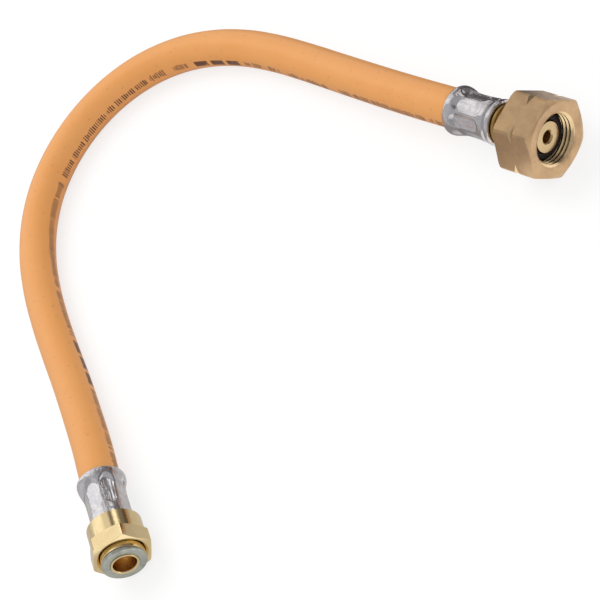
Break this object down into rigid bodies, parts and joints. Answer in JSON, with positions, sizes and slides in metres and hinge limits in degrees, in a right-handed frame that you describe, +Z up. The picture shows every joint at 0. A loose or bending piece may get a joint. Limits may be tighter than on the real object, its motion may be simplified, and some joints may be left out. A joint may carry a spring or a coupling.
{
  "type": "flexible gas hose",
  "caption": "Flexible rubber gas hose with crimped steel ferrules, a notched hexagonal brass union nut at one end and a smaller brass union nut at the other, lying in an open loop.",
  "frame": {"origin": "on the table, under the middle of the box round the two fittings, the hose left out", "axes": "+Z up from the table; +X from the small fitting's side to the large fitting's; the large fitting's axis points out 2 degrees from -Y towards +X, the small one's 29.6 degrees from -Y towards -X"},
  "size_m": [0.2454, 0.2577, 0.0311],
  "materials": {
    "hose_rubber": "satin, slightly dusty moulded rubber",
    "ferrule_steel": "bright zinc plating, pressed",
    "bright_brass": "turned, bright",
    "satin_brass": "satin, slightly dull",
    "seal_rubber": "matt black",
    "washer_metal": "matt"
  },
  "bodies": {
    "hose_assembly": {"hose": "hose_rubber", "large_ferrule": "ferrule_steel", "small_ferrule": "ferrule_steel", "large_nipple": "bright_brass", "small_nipple": "bright_brass", "large_seal": "seal_rubber", "small_washer": "washer_metal"},
    "large_union": {"large_nut": "satin_brass"},
    "small_union": {"small_nut": "bright_brass"}
  },
  "joints": [
    {"name": "large_nut_spin", "type": "hinge", "parent": "hose_assembly", "child": "large_union", "pos_m": [0.10551, -0.04412, 0.01557], "axis": [0.0349, -0.9994, 0], "continuous": true},
    {"name": "small_nut_spin", "type": "hinge", "parent": "hose_assembly", "child": "small_union", "pos_m": [-0.11034, 0.01795, 0.01179], "axis": [-0.4939, -0.8695, 0], "continuous": true}
  ]
}
